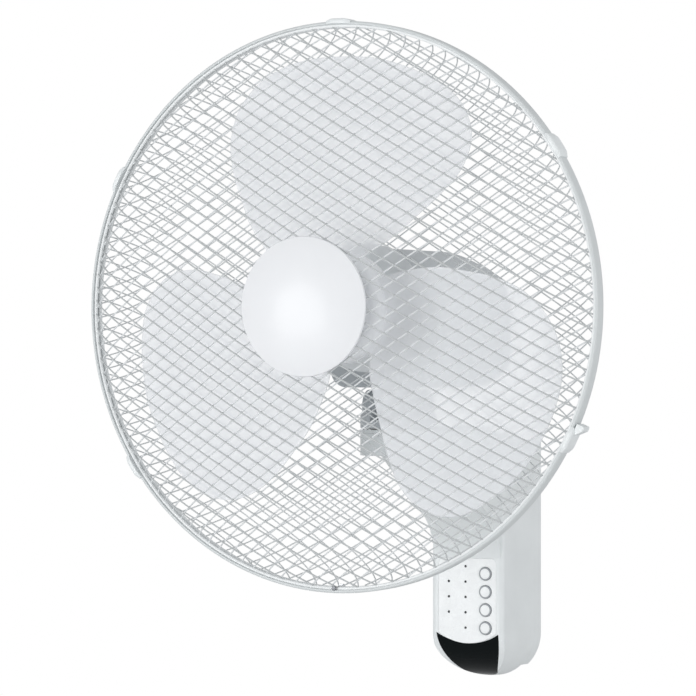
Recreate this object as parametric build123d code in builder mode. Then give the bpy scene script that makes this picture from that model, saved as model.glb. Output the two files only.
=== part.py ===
"""Wall mounted fan with a control body, a swinging neck and a tilting caged head.

Millimetres. The wall is the plane Y = 0, the fan blows towards -Y and +Z is up. The origin is the
middle of the two screw holes of the wall bracket. Other sizes are given from the fan centre, a point
on the fan axis: radius outwards, depth towards the wall, height upwards.
"""
from build123d import *
from math import cos, radians, sin, sqrt
import os

os.makedirs("parts", exist_ok=True)

# ---- the fan centre and the axes of its joints
wall_depth = 277.5  # from the fan centre to the wall
fan_height = 190.0  # of the fan axis above the bracket's screw pattern
pan_depth = 86.0  # the upright swing axis
tilt_height = -76.0  # the level tilt axis, at the same depth

# ---- ring and wire cages
ring_place = 17.2  # from the fan centre forward to the ring's middle plane
ring_radius = 217.3
ring_width = 12.0
ring_wall = 1.8
ring_sides = 48
ring_inner = 208.3
rim_radius = 210.1
rim_wire = 3.4
rim_gap = 0.4
mesh_wire = 1.3
mesh_pitch = 19.2
mesh_turn = 2.0  # the whole front mesh is turned a little
front_mesh_angle = 30.0
rear_mesh_angle = 38.0
mesh_layer = 1.35  # from one family of wires to the other
# radius and distance in front of the fan centre, from the rim inwards
front_cage = [(207.6, ring_place + 0.6), (197.0, 39.0), (53.0, 70.0)]
rear_cage = [(207.6, ring_place - 0.6), (199.0, -25.5), (47.5, -36.7)]
clip_angles = [90, 33, -27, -145, 152]
clip_length = 21.0
clip_wall = 2.0
clip_play = 0.05
lug_angle = -27
lug_tip = 223.3  # radius of the thumb lug
closure_height = -213.6  # of the screw that holds the ring's ends, and of its nut
closure_radius = 1.3
closure_sides = 6

# ---- badge
badge_radius = 52.5
badge_seat = 67.6  # height of the plate behind the wires
badge_front = 70.85  # height where the badge rests on the wires
badge_rim = 74.0
badge_rise = 7.5

# ---- impeller
hub_radius = 43.0
hub_front = -31.0
hub_back = -6.0
boss_back = 14.0
boss_radius = 12.0
blade_thickness = 2.0
shaft_radius = 4.0
shaft_front = -43.0
pin_depth = 4.0
pin_radius = 1.5
pin_half = 9.0
blade_half = 112.0
blade_camber = 3.0
# height of each section, its angle and the depth of its middle
blade_sections = [(20, 9.7, -20.5), (110, 8.8, -14.5), (200, 7.8, -8.4)]
blade_outline = [(96, 105), (103, 131), (92, 157), (69, 174), (45, 184.5), (23, 190.5), (0, 192),
                 (-23, 191), (-47, 185.5), (-68, 173), (-83, 153), (-89, 129), (-86, 105), (-79, 84),
                 (-71, 64), (-59, 46), (-45, 30), (-28, 20), (10, 20), (17, 38), (33, 46.5), (47, 57),
                 (61, 69), (78, 84)]

# ---- motor
motor_radius = 47.0
motor_front = 33.3
motor_joint = 60.0
motor_back = 166.0
tail_radius = 37.0
tail_back = 222.0
belly_height = -62.0
belly_corner = 14.0
motor_wall = 2.5
spigot_radius = 18.0
spigot_front = 18.0
bearing_radius = 9.0
rotor_radius = 22.0
stator_front = 92.0
stator_back = 138.0
bell_depth = 156.0
capacitor_depth = 116.0

# ---- flats on the rounds of turned pieces
round_sides = 36
small_sides = 24
bolt_sides = 12

# ---- neck
neck_radius = 30.0
neck_bottom = -94.0
neck_shoulder = -80.0
ear_radius = 12.0
ear_outer = 26.0
ear_inner = 11.0
tongue_half = 10.7
bolt_radius = 4.0
pivot_radius = 14.0
pivot_length = 8.4
clip_thick = 2.0
shaft_bore = 3.5
motor_can_top = -103.0

# ---- control body and arm
body_front = 212.5
body_seam = 265.5
back_half = 37.8
side_draft = 4.5
front_round = 5.0
chin_centre = -268.0
arm_top = -95.0
arm_end = 237.5
# side view, depth and height: foot of the gusset, top of the face, middle and end of the chin
gusset_foot = (190.0, -167.0)
face_top = (body_front, -204.0)
chin_middle = (227.5, -291.0)
chin_end = -304.5
cup_rear = 26.0  # from the swing axis back to the end of the cup's floor
lid_end = 194.0
lid = 3.0
cup_bottom = -115.5
casing_wall = 2.5
step_height = -295.5
panel_top = -204.0
panel_corner = 5.0
panel_side = 26.4
panel_skin = 1.2
panel_ledge = 1.4
smile_side = -265.8
smile_middle = -274.3
window_side = 28.2
window_back = 255.5
boss_length = 26.0
screw_radius = 1.5
screw_sides = 8
head_radius = 2.8
head_height = 1.8
tray_depth = 9.4
lock_place = 9.0
inlet_place = -11.0
inlet_radius = 3.9
inlet_sides = 12
inlet_depth = 272.55
board_depth = 225.5
board_sheet = 1.6
board_height = -238.0
receiver_height = -267.4
switch_front = board_depth - 3.6
stem_front = board_depth - 5.3

# ---- buttons and indicator lights
button_radius = 5.5
button_column = 16.6
button_sides = 16
button_proud = 1.2
flange_front = body_front + casing_wall + 0.05
button_heights = [-216.5, -231.4, -246.3, -261.2]
button_names = ["power_button", "speed_button", "timer_button", "swing_button"]
lens_radius = 1.1
lens_pitch = 12.65
lens_places = [(-16.7, -210.8 - lens_pitch * row) for row in range(1, 4)]
lens_places += [(-1.5, -210.8 - lens_pitch * row) for row in range(5)]

# ---- wall bracket
bracket_sheet = 2.0
bracket_half = 23.0
bracket_top = -128.0
bracket_bottom = -287.5
screw_spacing = 80.0
screw_hole = 2.6
hook_half = 6.0
hook_heights = [-168.0, -212.0]

fan_y = -wall_depth
fan_axis = Axis((0, fan_y, fan_height), (0, 1, 0))


def facing(depth):
    """Plane seen from the front: x to the right, y up, extrusions come forward."""
    return Plane(origin=(0, fan_y + depth, fan_height), x_dir=(1, 0, 0), z_dir=(0, -1, 0))


def level(height):
    """Plane seen from above: x to the right, y towards the wall, extrusions go up."""
    return Plane(origin=(0, fan_y, fan_height + height), x_dir=(1, 0, 0), z_dir=(0, 0, 1))


def side(x):
    """Plane seen from the side: x towards the wall, y up, extrusions go right."""
    return Plane(origin=(x, fan_y, fan_height), x_dir=(0, 1, 0), z_dir=(1, 0, 0))


# radius to the right, depth towards the wall: the half section of what turns about the fan axis
axial = Plane(origin=(0, fan_y, fan_height), x_dir=(1, 0, 0), z_dir=(0, 0, 1))


def save(part, name):
    part.label = name
    export_step(part, f"parts/{name}.step")


# ======== control body: casings, arm and panel


def u_outline(half, top):
    """Outline of the body seen from the front: straight sides and a round chin."""
    with BuildLine() as outline:
        sides = Polyline((half, chin_centre), (half, top), (-half, top), (-half, chin_centre))
        ThreePointArc(sides @ 1, (0, chin_centre - half), sides @ 0)
    make_face(outline.edges())


def side_profile(front, rear, plain):
    """Side view of body and arm: cup, gusset, front face, chin and back, with flats if plain."""
    with BuildLine() as outline:
        under = Line((front, cup_bottom), (pan_depth + cup_rear, cup_bottom))
        gusset = Line(under @ 1, gusset_foot)
        if plain:
            bend = Polyline(gusset @ 1, (205, -182), face_top)
        else:
            bend = TangentArc(gusset @ 1, face_top, tangent=gusset % 1)
        face = Line(bend @ 1, (body_front, smile_side))
        if plain:
            chin = Polyline(face @ 1, (219, -282), (238, -296.5), (rear, chin_end))
        else:
            chin = ThreePointArc(face @ 1, chin_middle, (rear, chin_end))
        back = Line(chin @ 1, (rear, arm_top - 14))
        Polyline(back @ 1, (lid_end + 2, arm_top - lid), (front, arm_top - lid), under @ 0)
    make_face(outline.edges())


def housing_form(inset, rear, lid_room=0.0):
    """Solid form of body and arm, inset on every side for the inner form of a shell."""
    with BuildPart() as form:
        with BuildSketch(facing(wall_depth)):
            u_outline(back_half - inset, arm_top - lid)
        extrude(amount=wall_depth - body_front - inset)
        upright = form.faces().filter_by(lambda face: abs(face.normal_at().Y) < 0.5)
        walls = upright.filter_by(lambda face: face.normal_at().Z < 0.5)
        draft(walls, neutral_plane=facing(wall_depth), angle=side_draft)
        if not inset:
            front_face = form.faces().sort_by(Axis.Y)[0]
            fillet(front_face.edges().sort_by(Axis.Z)[:-1], front_round)
        with BuildSketch(level(face_top[1])):
            with Locations((0, pan_depth)):
                Circle(neck_radius - inset)
            with Locations((0, (pan_depth + arm_end) / 2)):
                Rectangle(2 * (neck_radius - inset), arm_end - pan_depth)
        extrude(amount=arm_top - lid - face_top[1])
        with BuildSketch(side(-back_half)):
            side_profile(pan_depth - neck_radius, rear, inset > panel_skin)
            if inset:
                offset(amount=-inset, kind=Kind.INTERSECTION)
        extrude(amount=2 * back_half, mode=Mode.INTERSECT)
        if lid_room:
            with BuildSketch(level(arm_top - lid - inset - 1)):
                with Locations((0, pan_depth)):
                    Circle(neck_radius - inset)
                with Locations((0, (pan_depth + lid_end) / 2 - 2)):
                    Rectangle(2 * (neck_radius - inset), lid_end - 4 - pan_depth)
            extrude(amount=lid_room)
    return form.part


def panel_outline(gap):
    """Front panel: round top corners, straight sides and a lower edge like a smile."""
    half = panel_side - gap
    with BuildLine() as outline:
        edge = Polyline((-half, smile_side + gap), (-half, panel_top - gap), (half, panel_top - gap),
                        (half, smile_side + gap))
        ThreePointArc(edge @ 1, (0, smile_middle + gap), edge @ 0)
    face = make_face(outline.edges())
    fillet(face.vertices().group_by(Axis.Y)[-1], panel_corner - gap)


def window_outline(gap):
    """Receiver window: from the smile edge down the chin, inside the crease on both sides."""
    half = window_side - gap
    with BuildLine() as outline:
        top = ThreePointArc((-half, smile_side - gap), (0, smile_middle - gap), (half, smile_side - gap))
        left = ThreePointArc(top @ 0, (gap - 24.6, -284), (gap - 15, -299.5))
        right = ThreePointArc(top @ 1, (24.6 - gap, -284), (15 - gap, -299.5))
        ThreePointArc(left @ 1, (0, gap - 304), right @ 1)
    make_face(outline.edges())


outer_form = housing_form(0, body_seam)
inner_form = housing_form(casing_wall, body_seam + 2 * casing_wall, 12)
skin_form = housing_form(panel_skin, body_seam + 2 * casing_wall)

casing_screw_places = [(x, z) for x in (-30.0, 30.0) for z in (-122.0, -236.0)]
lid_screw_places = [(x, 150.0) for x in (-20.0, 20.0)]

with BuildPart() as front_casing:
    add(outer_form)
    add(inner_form, mode=Mode.SUBTRACT)
    with BuildSketch(facing(body_seam)):
        with Locations(*casing_screw_places):
            RegularPolygon(4, 8)
    extrude(amount=boss_length)
    with BuildSketch(level(arm_top - lid)):
        with Locations(*lid_screw_places):
            RegularPolygon(3.5, 8)
    extrude(amount=-41)
    with BuildSketch(facing(body_seam)):
        with Locations(*casing_screw_places):
            RegularPolygon(screw_radius + 0.05, screw_sides)
    extrude(amount=14, mode=Mode.SUBTRACT)
    with BuildSketch(level(arm_top - lid)):
        with Locations(*lid_screw_places):
            RegularPolygon(screw_radius + 0.05, screw_sides)
    extrude(amount=-12, mode=Mode.SUBTRACT)
    with BuildSketch(facing(body_front)):
        panel_outline(0)
    extrude(amount=-panel_skin, mode=Mode.SUBTRACT)
    with BuildSketch(facing(body_front)):
        panel_outline(panel_ledge)
    extrude(amount=-casing_wall - 4, mode=Mode.SUBTRACT)
    with BuildSketch(facing(window_back)):
        window_outline(0)
    extrude(amount=window_back - body_front, mode=Mode.SUBTRACT)

# the lid of the arm carries the neck: a round hole for the pivot, two screws behind it
with BuildPart() as arm_lid:
    with BuildSketch(level(arm_top - lid)):
        with Locations((0, pan_depth)):
            RegularPolygon(neck_radius, round_sides)
        with Locations((0, (pan_depth + lid_end) / 2)):
            Rectangle(2 * neck_radius, lid_end - pan_depth)
        with Locations((0, pan_depth)):
            RegularPolygon(pivot_radius + 0.1, small_sides, major_radius=False, mode=Mode.SUBTRACT)
        with Locations(*lid_screw_places):
            RegularPolygon(screw_radius + 0.2, screw_sides, mode=Mode.SUBTRACT)
    extrude(amount=lid)

with BuildPart() as control_panel:
    with BuildSketch(facing(body_front + panel_skin)):
        panel_outline(0.1)
    extrude(amount=panel_skin)
    with BuildSketch(facing(body_front + casing_wall)):
        panel_outline(panel_ledge + 0.2)
    extrude(amount=casing_wall - panel_skin)
    with BuildSketch(facing(body_front + casing_wall)):
        with Locations(*[(button_column, z) for z in button_heights]):
            RegularPolygon(button_radius + 0.25, button_sides)
        with Locations(*lens_places):
            RegularPolygon(lens_radius + 0.05, 6)
    extrude(amount=casing_wall, mode=Mode.SUBTRACT)

with BuildPart() as receiver_window:
    add(outer_form)
    add(skin_form, mode=Mode.SUBTRACT)
    with BuildSketch(facing(window_back)):
        window_outline(0.15)
    extrude(amount=window_back - body_front, mode=Mode.INTERSECT)

# a tray with its rim against the wall; the bracket fits inside the rim
with BuildPart() as rear_casing:
    add(housing_form(0, wall_depth - 0.5))
    with BuildSketch(facing(body_seam + 0.1)):
        Rectangle(4 * ring_radius, 4 * ring_radius)
    extrude(amount=wall_depth, mode=Mode.SUBTRACT)
    with BuildSketch(level(step_height)):
        with Locations((0, body_seam)):
            Rectangle(2 * back_half, 60)
    extrude(amount=-20, mode=Mode.SUBTRACT)
    with BuildSketch(facing(wall_depth)):
        u_outline(back_half - casing_wall, arm_top - 16)
        with Locations((0, step_height + casing_wall - 20)):
            Rectangle(2 * back_half, 40, mode=Mode.SUBTRACT)
    extrude(amount=tray_depth, mode=Mode.SUBTRACT)
    with BuildSketch(facing(wall_depth)):
        with Locations(*[(0, z + bracket_sheet / 2 - 3) for z in hook_heights]):
            Rectangle(2 * hook_half + 2, bracket_sheet + 6)
        with Locations(*casing_screw_places):
            RegularPolygon(screw_radius + 0.2, screw_sides)
    extrude(amount=20, mode=Mode.SUBTRACT)
    with BuildSketch(level(step_height)):
        with Locations((lock_place, inlet_depth)):
            RegularPolygon(screw_radius + 0.2, screw_sides)
        with Locations((inlet_place, inlet_depth)):
            RegularPolygon(inlet_radius, inlet_sides)
    extrude(amount=6, mode=Mode.SUBTRACT)

with BuildPart() as wall_bracket:
    with BuildSketch(facing(wall_depth)):
        with Locations((0, (bracket_top + bracket_bottom) / 2)):
            RectangleRounded(2 * bracket_half, bracket_top - bracket_bottom, 6)
        with Locations((0, -fan_height)):
            with GridLocations(0, screw_spacing, 1, 2):
                Circle(screw_hole, mode=Mode.SUBTRACT)
    extrude(amount=bracket_sheet)
    for height in hook_heights:
        with BuildSketch(side(-hook_half)):
            with BuildLine():
                Polyline((wall_depth, height), (body_seam - 4, height), (body_seam - 4, height + 7),
                         (body_seam - 2, height + 7), (body_seam - 2, height + bracket_sheet),
                         (wall_depth, height + bracket_sheet), close=True)
            make_face()
        extrude(amount=2 * hook_half)
    with BuildSketch(level(bracket_bottom)):
        with Locations((lock_place, wall_depth - 4.5)):
            Rectangle(12, 9)
        with Locations((lock_place, inlet_depth)):
            RegularPolygon(screw_radius + 0.05, screw_sides, mode=Mode.SUBTRACT)
    extrude(amount=bracket_sheet)

with BuildPart() as cord_grommet:
    for bottom, top, radius in ((-1.0, -0.02, 4.4), (-0.5, casing_wall + 0.5, 3.85),
                                (casing_wall + 0.02, casing_wall + 1, 4.4)):
        with BuildSketch(level(step_height + bottom)):
            with Locations((inlet_place, inlet_depth)):
                RegularPolygon(radius, inlet_sides)
                RegularPolygon(2.9, inlet_sides, mode=Mode.SUBTRACT)
        extrude(amount=top - bottom)


def screws(plane, places, length):
    """Pan head screws: shanks from the plane downwards, heads above it."""
    with BuildPart() as group:
        with BuildSketch(plane):
            with Locations(*places):
                RegularPolygon(screw_radius, screw_sides)
        extrude(amount=-length)
        with BuildSketch(plane):
            with Locations(*places):
                RegularPolygon(head_radius, screw_sides)
        extrude(amount=head_height)
    return group.part


# heads against the tray floor, seen from the wall side
tray_floor = fan_y + wall_depth - tray_depth
tray_back = Plane(origin=(0, tray_floor, fan_height), x_dir=(1, 0, 0), z_dir=(0, 1, 0))
flipped_places = [(x, -z) for x, z in casing_screw_places]
casing_screws = screws(tray_back, flipped_places, 12)
lid_screws = screws(level(arm_top), lid_screw_places, 12)
lock_plane = Plane(origin=(0, fan_y, fan_height + step_height), x_dir=(1, 0, 0), z_dir=(0, 0, -1))
lock_screw = screws(lock_plane, [(lock_place, -inlet_depth)], 11)

# ======== inside the control body

with BuildPart() as control_board:
    with BuildSketch(facing(board_depth + board_sheet)):
        with Locations((0, board_height)):
            Rectangle(40, 64)
    extrude(amount=board_sheet)

with BuildPart() as tact_switches:
    with BuildSketch(facing(board_depth)):
        with Locations(*[(button_column - 0.6, z) for z in button_heights]):
            Rectangle(6, 6)
    extrude(amount=board_depth - switch_front)
    with BuildSketch(facing(switch_front)):
        with Locations(*[(button_column, z) for z in button_heights]):
            RegularPolygon(1.6, 8)
    extrude(amount=0.7)

with BuildPart() as ir_receiver:
    with BuildSketch(facing(board_depth)):
        with Locations((0, receiver_height)):
            Rectangle(6, 5)
    extrude(amount=4)
    with BuildSketch(facing(board_depth - 4)):
        with Locations((0, receiver_height)):
            RegularPolygon(2, 8)
    extrude(amount=1.6)

with BuildPart() as light_pipes:
    with BuildSketch(facing(board_depth)):
        with Locations(*lens_places):
            RegularPolygon(lens_radius, 6)
    extrude(amount=board_depth - body_front + 0.2)

for place, height in enumerate(button_heights):
    with BuildPart() as button:
        with BuildSketch(facing(flange_front)):
            with Locations((button_column, height)):
                RegularPolygon(button_radius, button_sides)
        extrude(amount=flange_front - body_front + button_proud)
        with BuildSketch(facing(flange_front + 1.5)):
            with Locations((button_column, height)):
                RegularPolygon(button_radius + 0.5, 8, major_radius=False)
        extrude(amount=1.5)
        with BuildSketch(facing(stem_front)):
            with Locations((button_column, height)):
                Rectangle(3, 3)
        extrude(amount=stem_front - flange_front - 1.5)
    save(button.part, button_names[place])

# ======== neck

with BuildPart() as neck_turret:
    with BuildSketch(level(neck_bottom)):
        with Locations((0, pan_depth)):
            RegularPolygon(neck_radius, round_sides)
    extrude(amount=neck_shoulder - neck_bottom)
    chamfer(neck_turret.edges().group_by(Axis.Z)[-1], 4)
    for x in (-ear_outer, ear_inner):
        with BuildSketch(side(x)):
            with Locations((pan_depth, tilt_height)):
                RegularPolygon(ear_radius, small_sides)
            with Locations((pan_depth, (tilt_height + neck_bottom) / 2 + 2)):
                Rectangle(2 * ear_radius, tilt_height - neck_bottom - 4)
        extrude(amount=ear_outer - ear_inner)
    for x in (-neck_radius, ear_outer):
        with BuildSketch(side(x)):
            with Locations((pan_depth, tilt_height)):
                Rectangle(16, 16)
        extrude(amount=neck_radius - ear_outer, mode=Mode.SUBTRACT)
    with BuildSketch(side(-ear_inner)):
        with Locations((pan_depth, tilt_height)):
            Rectangle(80, 2 * ear_radius + 1)
    extrude(amount=2 * ear_inner, mode=Mode.SUBTRACT)
    with BuildSketch(level(neck_bottom)):
        with Locations((0, pan_depth)):
            RegularPolygon(pivot_radius, small_sides)
    extrude(amount=-pivot_length)
    with BuildSketch(level(neck_bottom - pivot_length)):
        with Locations((0, pan_depth)):
            RegularPolygon(shaft_bore + 0.05, bolt_sides, major_radius=False)
    extrude(amount=pivot_length + 4, mode=Mode.SUBTRACT)
    with BuildSketch(side(-ear_outer)):
        with Locations((pan_depth, tilt_height)):
            RegularPolygon(bolt_radius + 0.05, bolt_sides, major_radius=False)
    extrude(amount=2 * ear_outer, mode=Mode.SUBTRACT)
    with BuildSketch(level(neck_bottom - 5)):
        with Locations((0, pan_depth)):
            Rectangle(2 * pivot_radius + 2, 2 * pivot_radius + 2)
            RegularPolygon(pivot_radius - 1, bolt_sides, mode=Mode.SUBTRACT)
    extrude(amount=-clip_thick - 0.1, mode=Mode.SUBTRACT)

with BuildPart() as pivot_washer:
    with BuildSketch(level(arm_top)):
        with Locations((0, pan_depth)):
            RegularPolygon(neck_radius - 5, small_sides)
            RegularPolygon(pivot_radius + 0.2, small_sides, major_radius=False, mode=Mode.SUBTRACT)
    extrude(amount=neck_bottom - arm_top)

with BuildPart() as pivot_clip:
    with BuildSketch(level(neck_bottom - 5 - clip_thick)):
        with Locations((0, pan_depth)):
            RegularPolygon(pivot_radius + 3, bolt_sides)
            RegularPolygon(pivot_radius - 0.9, bolt_sides, mode=Mode.SUBTRACT)
        with Locations((0, pan_depth - pivot_radius)):
            Rectangle(8, 12, mode=Mode.SUBTRACT)
    extrude(amount=clip_thick)

with BuildPart() as tilt_bolt:
    with BuildSketch(side(-ear_outer)):
        with Locations((pan_depth, tilt_height)):
            Circle(bolt_radius)
    extrude(amount=2 * ear_outer + 2)
    with BuildSketch(side(ear_outer)):
        with Locations((pan_depth, tilt_height)):
            RegularPolygon(7, 6)
    extrude(amount=3)

with BuildPart() as tilt_nut:
    with BuildSketch(side(-ear_outer)):
        with Locations((pan_depth, tilt_height)):
            RegularPolygon(7, 6)
            RegularPolygon(bolt_radius + 0.05, bolt_sides, major_radius=False, mode=Mode.SUBTRACT)
    extrude(amount=-3)

with BuildPart() as swing_shaft:
    with BuildSketch(level(motor_can_top - 4)):
        with Locations((0, pan_depth)):
            RegularPolygon(shaft_bore, bolt_sides)
    extrude(amount=neck_bottom + 3.9 - motor_can_top + 4)

with BuildPart() as swing_motor:
    with BuildSketch(level(motor_can_top)):
        with Locations((0, pan_depth)):
            RegularPolygon(21, small_sides)
    extrude(amount=cup_bottom + casing_wall - motor_can_top)
    with BuildSketch(level(motor_can_top)):
        with Locations((0, pan_depth)):
            RegularPolygon(shaft_bore + 0.1, bolt_sides, major_radius=False)
    extrude(amount=-5, mode=Mode.SUBTRACT)

# ======== motor


def ring_part(inner, outer, front, back, sides=16):
    """Ring about the fan axis, with flats on both rounds."""
    with BuildPart() as piece:
        with BuildSketch(facing(back)):
            RegularPolygon(outer, sides)
            if inner:
                RegularPolygon(inner, sides, major_radius=False, mode=Mode.SUBTRACT)
        extrude(amount=back - front)
    return piece.part


def motor_body(inset):
    """Solid form of the motor cover: a round top and a boxy belly, both narrower at the tail."""
    front = motor_joint + inset
    back = tail_back - inset
    wide = motor_radius - inset
    narrow = tail_radius - inset
    belly = belly_height + inset
    with BuildPart() as body:
        with BuildSketch(facing(back)):
            Polygon((-wide, 0), (-wide, belly + belly_corner), (belly_corner - wide, belly),
                    (wide - belly_corner, belly), (wide, belly + belly_corner), (wide, 0), align=None)
        extrude(amount=back - front)
        with BuildSketch(level(belly)):
            Polygon((-wide, front), (wide, front), (wide, motor_back), (narrow, back), (-narrow, back),
                    (-wide, motor_back), align=None)
        extrude(amount=-belly, mode=Mode.INTERSECT)
        with BuildSketch(side(-wide)):
            Polygon((front, 0), (front, belly), (motor_back, belly), (back, belly + 12), (back, 0),
                    align=None)
        extrude(amount=2 * wide, mode=Mode.INTERSECT)
    with BuildPart() as round_top:
        add(ring_part(0, wide, front, back, round_sides))
        end = round_top.faces().sort_by(Axis.Y)[-1]
        chamfer(end.edges(), motor_radius - tail_radius, back - motor_back, reference=end)
    return body.part + round_top.part


with BuildPart() as motor_shell:
    add(motor_body(0))
    with BuildSketch(side(-tongue_half)):
        with Locations((pan_depth, tilt_height)):
            RegularPolygon(ear_radius, small_sides)
        with Locations((pan_depth, (tilt_height + belly_height) / 2 + 1)):
            Rectangle(2 * ear_radius, belly_height - tilt_height + 2)
    extrude(amount=2 * tongue_half)
    with BuildSketch(side(-tongue_half)):
        with Locations((pan_depth, tilt_height)):
            RegularPolygon(bolt_radius + 0.1, bolt_sides, major_radius=False)
    extrude(amount=2 * tongue_half, mode=Mode.SUBTRACT)
    add(motor_body(motor_wall), mode=Mode.SUBTRACT)
    add(ring_part(0, motor_radius - motor_wall, motor_joint, motor_joint + motor_wall, round_sides),
        mode=Mode.SUBTRACT)

with BuildPart() as motor_front_cover:
    add(ring_part(0, motor_radius, motor_front, motor_joint, round_sides))
    chamfer(motor_front_cover.edges().group_by(Axis.Y)[0], 8)
    for inner, start in ((motor_radius - motor_wall, 8), (motor_radius - 8, motor_wall)):
        add(ring_part(0, inner, motor_front + start, motor_joint, round_sides), mode=Mode.SUBTRACT)
    add(ring_part(0, spigot_radius, spigot_front, motor_front + motor_wall, small_sides))
    add(ring_part(0, bearing_radius + 0.02, spigot_front, motor_front + motor_wall), mode=Mode.SUBTRACT)

front_bearing = ring_part(shaft_radius + 0.05, bearing_radius, spigot_front + 1, motor_front + motor_wall)
rear_bearing = ring_part(shaft_radius + 0.05, bearing_radius, bell_depth - 4, bell_depth + 6)
shell_inner = motor_radius - motor_wall
end_bell = ring_part(bearing_radius + 0.02, shell_inner - 0.2, bell_depth, bell_depth + 3, small_sides)
stator = ring_part(rotor_radius + 0.4, shell_inner - 0.5, stator_front, stator_back, small_sides)
rotor_core = ring_part(shaft_radius + 0.02, rotor_radius, stator_front + 2, stator_back - 2)
grille_nut = ring_part(spigot_radius + 0.05, 27, motor_front - 11, motor_front - 1.55, small_sides)
hub_plate = ring_part(spigot_radius + 0.05, 50, motor_front - 1.5, motor_front, round_sides)

windings = Compound(children=[
    ring_part(rotor_radius + 4, rotor_radius + 18, stator_front - 12, stator_front - 0.1, small_sides),
    ring_part(rotor_radius + 4, rotor_radius + 18, stator_back + 0.1, stator_back + 12, small_sides)])

with BuildPart() as run_capacitor:
    with BuildSketch(level(belly_height + motor_wall + 0.1)):
        with Locations((0, capacitor_depth)):
            Rectangle(34, 20)
    extrude(amount=12)

# ======== impeller and shaft

with BuildPart() as rotor_shaft:
    with BuildSketch(facing(bell_depth + 8)):
        Circle(shaft_radius)
    extrude(amount=bell_depth + 8 - shaft_front)
    with BuildSketch(side(-shaft_radius)):
        with Locations((pin_depth, 0)):
            RegularPolygon(pin_radius + 0.02, 8)
    extrude(amount=2 * shaft_radius, mode=Mode.SUBTRACT)

with BuildPart() as drive_pin:
    with BuildSketch(side(-pin_half)):
        with Locations((pin_depth, 0)):
            RegularPolygon(pin_radius, 8)
    extrude(amount=2 * pin_half)

with BuildPart() as blade:
    for height, angle, middle in blade_sections:
        rise = blade_half * sin(radians(angle))
        reach = blade_half * cos(radians(angle))
        with BuildSketch(level(height)):
            with BuildLine():
                front, back = [ThreePointArc((-reach, place - rise), (0, place + blade_camber),
                                             (reach, place + rise))
                               for place in (middle, middle + blade_thickness)]
                Line(front @ 0, back @ 0)
                Line(front @ 1, back @ 1)
            make_face()
    loft()
    with BuildSketch(facing(60)):
        with BuildLine():
            Polyline(*blade_outline, close=True)
        make_face()
    extrude(amount=120, mode=Mode.INTERSECT)
    with BuildSketch(facing(60)):
        Circle(hub_radius - 1.5)
    extrude(amount=120, mode=Mode.SUBTRACT)

with BuildPart() as impeller:
    add(ring_part(0, hub_radius, hub_front, hub_back, round_sides))
    chamfer(impeller.edges().group_by(Axis.Y)[0], 8)
    add(ring_part(0, hub_radius - 2.5, hub_front + 8, hub_back, round_sides), mode=Mode.SUBTRACT)
    add(ring_part(0, hub_radius - 9, hub_front + 2.5, hub_back, round_sides), mode=Mode.SUBTRACT)
    add(ring_part(0, boss_radius, hub_front, boss_back))
    add(ring_part(0, shaft_radius + 0.1, hub_front, boss_back), mode=Mode.SUBTRACT)
    with BuildSketch(facing(hub_front + 2)):
        with PolarLocations(26, 6):
            Rectangle(32, 2)
    extrude(amount=-20)
    for turn in (0, 120, 240):
        add(blade.part.rotate(fan_axis, turn))
    with BuildSketch(side(-boss_radius)):
        with Locations((pin_depth + 5, 0)):
            Rectangle(2 * pin_radius + 10.1, 2 * pin_radius + 0.1)
    extrude(amount=2 * boss_radius, mode=Mode.SUBTRACT)

with BuildPart() as blade_nut:
    add(ring_part(0, 15, hub_front - 15, hub_front))
    chamfer(blade_nut.edges().group_by(Axis.Y)[0], 6)
    add(ring_part(0, shaft_radius + 0.1, shaft_front - 0.1, hub_front), mode=Mode.SUBTRACT)

# ======== ring, cages and badge


def cage_wires(profile, angle, layer, hole=0.0):
    """One family of parallel wires that follow the cage's half section from rim to rim."""
    inwards = layer if profile[-1][1] > 0 else -layer
    shape = [(profile[0][0] - layer, profile[0][1])]
    shape += [(r - layer, h - inwards) for r, h in profile[1:]]
    forward = Vector(0, -1, 0)
    along = Vector(cos(radians(angle)), 0, sin(radians(angle)))
    across = Vector(-sin(radians(angle)), 0, cos(radians(angle)))
    centre = Vector(0, fan_y, fan_height)
    wires = []
    count = int(shape[0][0] / mesh_pitch - 0.5)
    for number in range(-count - 1, count + 1):
        offset_from_centre = (number + 0.5) * mesh_pitch
        reach = abs(offset_from_centre)
        if reach > shape[1][0] - 3:
            continue
        half = [(sqrt(r * r - reach * reach), h) for r, h in shape if r > reach + 1]
        if reach > hole and reach > shape[-1][0]:
            (r1, h1), (r2, h2) = next((a, b) for a, b in zip(shape, shape[1:]) if b[0] <= reach + 1)
            half.append((0, h1 + (h2 - h1) * (r1 - reach) / (r1 - r2)))
        runs = [[(-t, h) for t, h in half]]
        mirrored = [(t, h) for t, h in reversed(half)]
        if reach < hole:
            runs.append(mirrored)
        else:
            runs[0] += mirrored if half[-1][0] else mirrored[1:]
        for run in runs:
            points = [centre + across * offset_from_centre + along * t + forward * h for t, h in run]
            with BuildPart() as wire:
                with BuildLine() as path:
                    Polyline(*points)
                start = path.line % 0
                with BuildSketch(Plane(origin=points[0], x_dir=across, z_dir=start)):
                    Rectangle(mesh_wire, mesh_wire)
                sweep(transition=Transition.RIGHT)
            wires.append(wire.part)
    return wires


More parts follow.
